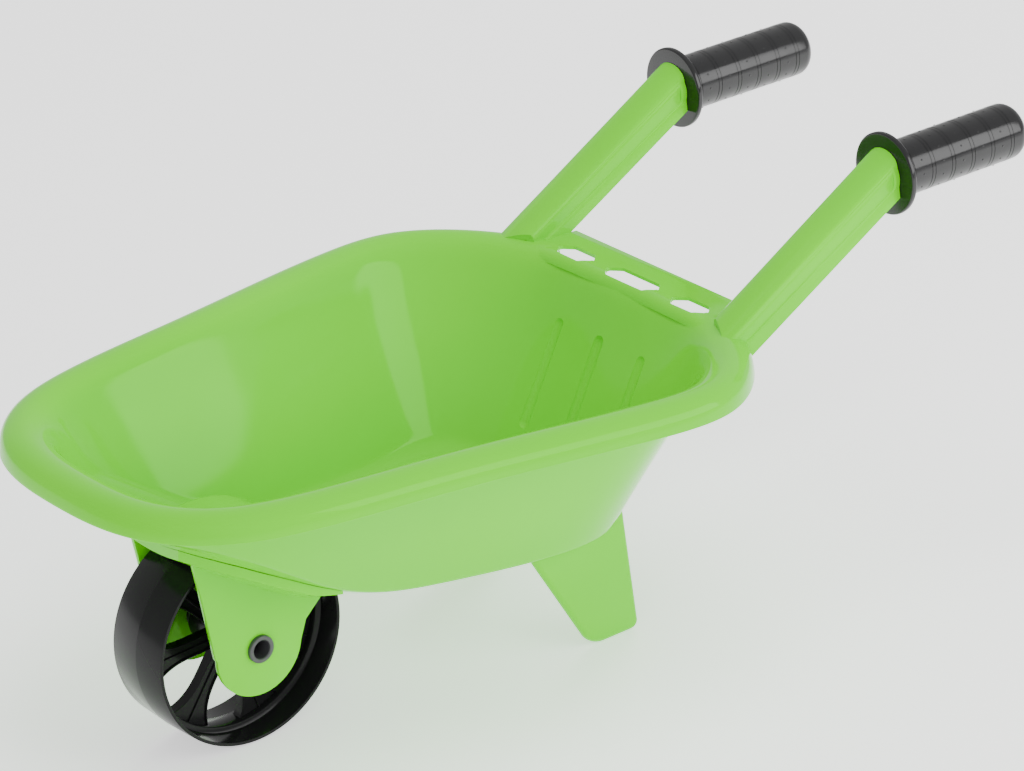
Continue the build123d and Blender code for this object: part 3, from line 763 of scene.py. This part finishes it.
# ---- wheel ----
def make_wheel():
    """Crowned tread with a web inside it, spokes and hub."""
    edge = WHEEL_RADIUS - 0.7
    half = [
        (0.35, WHEEL_RADIUS - 0.02), (WHEEL_HALF - 0.5, edge), (WHEEL_HALF - 0.12, edge - 0.15),
        (WHEEL_HALF, edge - 0.5), (WHEEL_HALF, edge - 1.6), (WHEEL_HALF - 0.15, edge - 1.9),
        (WHEEL_HALF - 0.5, edge - 2.0),
        (8.2, 57.4), (7.4, 57.2), (7.0, 56.6), (6.4, 54.4), (5.8, 54.0),
    ]
    profile = [(0.0, WHEEL_RADIUS)] + half + [(-x, r) for x, r in reversed(half)]
    wheel = lathe("wheel_moulding", profile, AXLE_CENTRE, ALONG_X, 160)
    for number in range(SPOKES):
        combine(wheel, make_spoke(FIRST_SPOKE - 2 * math.pi / SPOKES * number), "UNION")
    bore = AXLE_RADIUS + BORE_CLEARANCE
    hub = [
        (-HUB_HALF, bore), (-HUB_HALF, HUB_RADIUS - 0.6), (-HUB_HALF + 0.6, HUB_RADIUS),
        (HUB_HALF - 0.6, HUB_RADIUS), (HUB_HALF, HUB_RADIUS - 0.6), (HUB_HALF, bore),
    ]
    combine(wheel, lathe("hub", hub, AXLE_CENTRE, ALONG_X), "UNION")
    return shade(wheel, 35)


def make_spoke(turn):
    """One spoke: ridged along both edges and down its middle, flaring into the tread."""
    first, last = SPOKE_REACH
    stations = [first + (last - first) * i / SPOKE_STEPS for i in range(SPOKE_STEPS + 1)]
    flare_from, flare_length, flare_out = SPOKE_FLARE
    ridge, face, high = SPOKE_RIDGE, SPOKE_FACE, SPOKE_HIGH
    rings = []
    out = np.array([0, math.cos(turn), math.sin(turn)])
    across = np.array([0, -math.sin(turn), math.cos(turn)])
    for radius in stations:
        half = SPOKE_HALF + flare_out * max(0.0, (radius - flare_from) / flare_length) ** 3.0
        upper = [
            (-half, high - 0.3), (-half + 0.3, high), (-half + ridge - 0.2, high),
            (-half + ridge, face), (-0.9, face), (-0.5, high - 0.2), (0.5, high - 0.2), (0.9, face),
            (half - ridge, face), (half - ridge + 0.2, high), (half - 0.3, high), (half, high - 0.3),
        ]
        lower = [(u, -h) for u, h in reversed(upper)]
        ring = []
        for u, h in upper + lower:
            ring.append(np.array([h, 0, WHEEL_RADIUS]) + out * radius + across * u)
        rings.append(ring)
    return loft("spoke", rings)


# ---- axle ----
def make_axle_tube():
    """Hollow axle with its head outside the left ear."""
    outside = EAR_OUTER + AXLE_HEAD_THICK
    head = [
        (-EAR_OUTER, AXLE_BORE), (-EAR_OUTER, AXLE_RADIUS), (EAR_OUTER, AXLE_RADIUS),
        (EAR_OUTER, AXLE_HEAD - 0.2), (EAR_OUTER + 0.2, AXLE_HEAD),
    ]
    head += arc((outside - HEAD_ROUND, AXLE_HEAD - HEAD_ROUND), HEAD_ROUND, 90, 0, 5)
    head += [(outside, AXLE_BORE + 0.5), (outside - 0.5, AXLE_BORE)]
    return shade(lathe("axle_tube_part", head, AXLE_CENTRE, ALONG_X))


def make_axle_plug():
    """Headed plug that fills the axle's other end, hollow inside and dimpled in its head."""
    radius = AXLE_BORE - BORE_CLEARANCE
    outside, floor = -EAR_OUTER - AXLE_HEAD_THICK, -EAR_OUTER + 3
    body = [(outside, 2.2), (outside, AXLE_HEAD - HEAD_ROUND)]
    roll = arc((0, AXLE_HEAD - HEAD_ROUND), HEAD_ROUND, 0, 90, 5)
    body += [(outside + HEAD_ROUND - x, r) for x, r in roll]
    body += [(-EAR_OUTER, AXLE_HEAD), (-EAR_OUTER, radius)]
    body += [(-PLUG_END - 0.6, radius), (-PLUG_END, radius - 0.6), (-PLUG_END, PLUG_BORE)]
    body += [(floor, PLUG_BORE), (floor, 0.0), (outside + 0.6, 0.0), (outside + 0.6, 1.8)]
    return shade(lathe("axle_plug_part", body, AXLE_CENTRE, ALONG_X))


def make_spacer(side, name):
    """Loose sleeve between the hub and an ear."""
    start, end = side * (HUB_HALF + 0.3), side * (EAR_OUTER - EAR_THICK - 0.1)
    inner, outer = AXLE_RADIUS + BORE_CLEARANCE, AXLE_RADIUS + SPACER_WALL
    ring = [
        (start, inner), (start, outer - 0.3), (start + side * 0.3, outer),
        (end - side * 0.3, outer), (end, outer - 0.3), (end, inner),
    ]
    return shade(lathe(name, ring, AXLE_CENTRE, ALONG_X, 80))


# ---- grips ----
def make_grip(x, name):
    """Flanged grip with pairs of fine ring grooves and rows of small studs between them."""
    edge = 1.2
    profile = [(0.0, GRIP_BORE), (0.0, FLANGE_RADIUS - edge)]
    profile += arc((edge, FLANGE_RADIUS - edge), edge, 180, 90, 5)[1:]
    profile += arc((FLANGE_THICK - edge, FLANGE_RADIUS - edge), edge, 90, 0, 5)
    profile += [(FLANGE_THICK, GRIP_RADIUS + 0.8), (FLANGE_THICK + 0.25, GRIP_RADIUS + 0.25)]
    profile += [(FLANGE_THICK + 0.9, GRIP_RADIUS)]
    straight = GRIP_LENGTH - GRIP_ROUND
    for pair in range(GROOVE_PAIRS):
        for along in (place + PAIR_STEP * pair for place in PAIR):
            if along > straight - 1:
                continue
            profile += [
                (along - 0.3, GRIP_RADIUS), (along - 0.2, GRIP_RADIUS - RING_DEPTH),
                (along + 0.2, GRIP_RADIUS - RING_DEPTH), (along + 0.3, GRIP_RADIUS),
            ]
    end = arc((straight, GRIP_RADIUS - GRIP_ROUND), GRIP_ROUND, 90, 0, 12)
    profile += end + [(GRIP_LENGTH, 0.0), (GRIP_BORE_DEPTH, 0.0), (GRIP_BORE_DEPTH, GRIP_BORE)]
    origin = np.array([x, *FLANGE_AT])
    axis = grip_axis()
    grip = lathe(name, profile, origin, axis, 128)
    studs = []
    side = np.array([1.0, 0, 0])
    up = np.cross(side, axis)
    for row_number in range(GROOVE_PAIRS):
        along = STUD_ROW + PAIR_STEP * row_number
        if along > straight:
            continue
        for i in range(STUDS_AROUND):
            turn = 2 * math.pi * (i + 0.5 * (row_number % 2)) / STUDS_AROUND
            out = side * math.cos(turn) + up * math.sin(turn)
            foot = origin + axis * along + out * (GRIP_RADIUS - 0.3)
            studs.append(solid_of_revolution("stud", STUD_DOME, foot, out + axis * 1e-4, 12))
    return shade(join([grip, join(studs)]), 40)


# ---- materials ----
def node_material(name, colour, roughness):
    material = bpy.data.materials.new(name)
    material.use_nodes = True
    nodes, links = material.node_tree.nodes, material.node_tree.links
    shader = nodes["Principled BSDF"]
    shader.inputs["Base Color"].default_value = (*colour, 1.0)
    shader.inputs["Roughness"].default_value = roughness
    return material, nodes, links, shader


def noise(nodes, links, scale, detail=3.0, stretch=(1, 1, 1)):
    place = nodes.new("ShaderNodeTexCoord")
    mapping = nodes.new("ShaderNodeMapping")
    mapping.inputs["Scale"].default_value = stretch
    texture = nodes.new("ShaderNodeTexNoise")
    texture.inputs["Scale"].default_value = scale
    texture.inputs["Detail"].default_value = detail
    links.new(place.outputs["Object"], mapping.inputs["Vector"])
    links.new(mapping.outputs["Vector"], texture.inputs["Vector"])
    return texture.outputs["Fac"]


def ramp(nodes, links, value, low, high, start=0.35, end=0.65):
    spread = nodes.new("ShaderNodeMapRange")
    spread.inputs["From Min"].default_value = start
    spread.inputs["From Max"].default_value = end
    spread.inputs["To Min"].default_value = low
    spread.inputs["To Max"].default_value = high
    links.new(value, spread.inputs["Value"])
    return spread.outputs["Result"]


def tint(nodes, links, value, dark, light):
    mix = nodes.new("ShaderNodeMix")
    mix.data_type = "RGBA"
    mix.inputs[6].default_value = (*dark, 1.0)
    mix.inputs[7].default_value = (*light, 1.0)
    links.new(value, mix.inputs["Factor"])
    return mix.outputs[2]


def surface(nodes, links, shader, value, strength, distance):
    bump = nodes.new("ShaderNodeBump")
    bump.inputs["Strength"].default_value = strength
    bump.inputs["Distance"].default_value = distance * MM
    links.new(value, bump.inputs["Height"])
    links.new(bump.outputs["Normal"], shader.inputs["Normal"])


def moulded_plastic(name, dark, light, shine, dull, orange_peel=0.05):
    """Glossy moulding: faint flow marks in colour and gloss, and a trace of orange peel."""
    material, nodes, links, shader = node_material(name, light, shine)
    flow = noise(nodes, links, 9.0, 2.0, (1.0, 0.35, 1.0))
    colour = tint(nodes, links, ramp(nodes, links, flow, 0, 1), dark, light)
    links.new(colour, shader.inputs["Base Color"])
    haze = noise(nodes, links, 35.0, 6.0)
    links.new(ramp(nodes, links, haze, shine, dull), shader.inputs["Roughness"])
    surface(nodes, links, shader, noise(nodes, links, 260.0, 2.0), orange_peel, 0.05)
    shader.inputs["IOR"].default_value = 1.49
    return material


def make_materials():
    """All the paints, by name; the last one is the floor's."""
    green = moulded_plastic("green_gloss", (0.112, 0.600, 0.0005), (0.132, 0.650, 0.001), 0.07, 0.12)
    shader = green.node_tree.nodes["Principled BSDF"]
    shader.inputs["Specular IOR Level"].default_value = 0.32
    shader.inputs["Specular Tint"].default_value = (0.5, 1.0, 0.3, 1.0)
    black = moulded_plastic("black_gloss", (0.006, 0.006, 0.0065), (0.010, 0.010, 0.0105), 0.14, 0.22)
    black.node_tree.nodes["Principled BSDF"].inputs["Specular IOR Level"].default_value = 0.15
    grey = moulded_plastic("grey_satin", (0.030, 0.030, 0.033), (0.050, 0.050, 0.054), 0.28, 0.40)
    grip = moulded_plastic("grip_satin", (0.006, 0.006, 0.0065), (0.010, 0.010, 0.0105), 0.13, 0.19, 0.1)
    steel, nodes, links, metal = node_material("zinc", (0.62, 0.62, 0.60), 0.3)
    metal.inputs["Metallic"].default_value = 1.0
    links.new(ramp(nodes, links, noise(nodes, links, 400.0), 0.22, 0.42), metal.inputs["Roughness"])
    surface(nodes, links, metal, noise(nodes, links, 900.0), 0.1, 0.05)
    pale, nodes, links, matt = node_material("pale_floor", (0.90, 0.90, 0.90), 0.6)
    matt.inputs["Emission Color"].default_value = (1.0, 1.0, 1.0, 1.0)
    matt.inputs["Emission Strength"].default_value = 0.8
    links.new(ramp(nodes, links, noise(nodes, links, 3.0), 0.55, 0.65), matt.inputs["Roughness"])
    return {
        "green": green, "black": black, "grey": grey, "grip": grip, "steel": steel, "floor": pale,
    }


def finish_piece(piece, material, body, slot, *nodes):
    piece.data.materials.clear()
    piece.data.materials.append(material)
    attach(piece, body)
    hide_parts(*nodes)


# ---- stage ----
def make_camera():
    """Long lens from the front left, a little above the rim."""
    azimuth, elevation, roll = math.radians(51.86), math.radians(23.4), math.radians(-0.7)
    target = Vector(row((-21.0, 214.2, 137.2)))
    distance = 2.81
    back = Vector(turn_back((
        math.sin(azimuth) * math.cos(elevation), -math.cos(azimuth) * math.cos(elevation),
        math.sin(elevation),
    )))
    right = Vector(turn_back((math.cos(azimuth), math.sin(azimuth), 0)))
    up = back.cross(right)
    turned_right = right * math.cos(roll) + up * math.sin(roll)
    turned_up = up * math.cos(roll) - right * math.sin(roll)
    lens = bpy.data.cameras.new("camera")
    lens.lens = 175.8
    lens.sensor_width = 36.0
    lens.clip_end = 50.0
    camera = bpy.data.objects.new("camera", lens)
    turn = Matrix((turned_right, turned_up, back)).transposed().to_4x4()
    camera.matrix_world = Matrix.Translation(target + back * distance) @ turn
    bpy.context.scene.collection.objects.link(camera)
    bpy.context.scene.camera = camera


def area_light(name, place, aim, size, power, reflects=True):
    """A soft box; one that doesn't reflect still lights the object."""
    light = bpy.data.lights.new(name, "AREA")
    light.shape = "RECTANGLE"
    light.size, light.size_y = size
    light.energy = power
    lamp = bpy.data.objects.new(name, light)
    lamp.location = place
    lamp.visible_glossy = reflects
    lamp.rotation_euler = (Vector(aim) - Vector(place)).to_track_quat("-Z", "Y").to_euler()
    bpy.context.scene.collection.objects.link(lamp)


def make_stage(material):
    mesh = bpy.data.meshes.new("floor")
    reach = 6.0
    corners = [(-reach, -reach, 0), (reach, -reach, 0), (reach, reach, 0), (-reach, reach, 0)]
    mesh.from_pydata(corners, [], [(0, 1, 2, 3)])
    floor = bpy.data.objects.new("floor", mesh)
    floor.location.z = -0.0004
    mesh.materials.append(material)
    bpy.context.scene.collection.objects.link(floor)
    world = bpy.data.worlds.new("soft_white")
    world.use_nodes = True
    world.node_tree.nodes["Background"].inputs["Color"].default_value = (1.0, 1.0, 1.0, 1.0)
    world.node_tree.nodes["Background"].inputs["Strength"].default_value = 0.8
    bpy.context.scene.world = world
    area_light("overhead", (0.3, 0.1, 1.8), (0, 0, 0.1), (1.2, 1.2), 20, False)
    area_light("front_box", (1.4, -1.8, 1.1), (0, 0, 0.15), (0.9, 0.9), 14, False)
    area_light("left_box", (1.31, 0.69, 0.76), (0.05, 0.1, 0.2), (1.4, 0.9), 17)
    area_light("rear_box", (-1.2, 1.6, 1.3), (0, 0, 0.15), (1.0, 0.7), 20, False)


# ---- build ----
make_camera()
paint = make_materials()
make_stage(paint["floor"])

finish_piece(make_basin(), paint["green"], "root", "green_plastic", "basin")
finish_piece(make_fork(), paint["green"], "root", "green_plastic", "fork_bracket")
finish_piece(make_leg(1, "leg_left_moulding"), paint["green"], "root", "green_plastic", "leg_left")
finish_piece(make_leg(-1, "leg_right_moulding"), paint["green"], "root", "green_plastic", "leg_right")
finish_piece(make_wheel(), paint["black"], "wheel", "black_plastic", "wheel")
finish_piece(make_axle_tube(), paint["grey"], "root", "dark_grey_plastic", "axle_tube")
finish_piece(make_axle_plug(), paint["grey"], "root", "dark_grey_plastic", "axle_plug")
for side, end in ((1, "left"), (-1, "right")):
    spacer = make_spacer(side, f"spacer_{end}_sleeve")
    finish_piece(spacer, paint["grey"], "root", "dark_grey_plastic", f"spacer_{end}")
    grip = make_grip(side * ARM_X, f"grip_{end}_moulding")
    finish_piece(grip, paint["grip"], "root", "grip_plastic", f"grip_{end}")
for node in ("fork_screws", "leg_screws"):
    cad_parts[node].data.materials.clear()
    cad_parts[node].data.materials.append(paint["steel"])
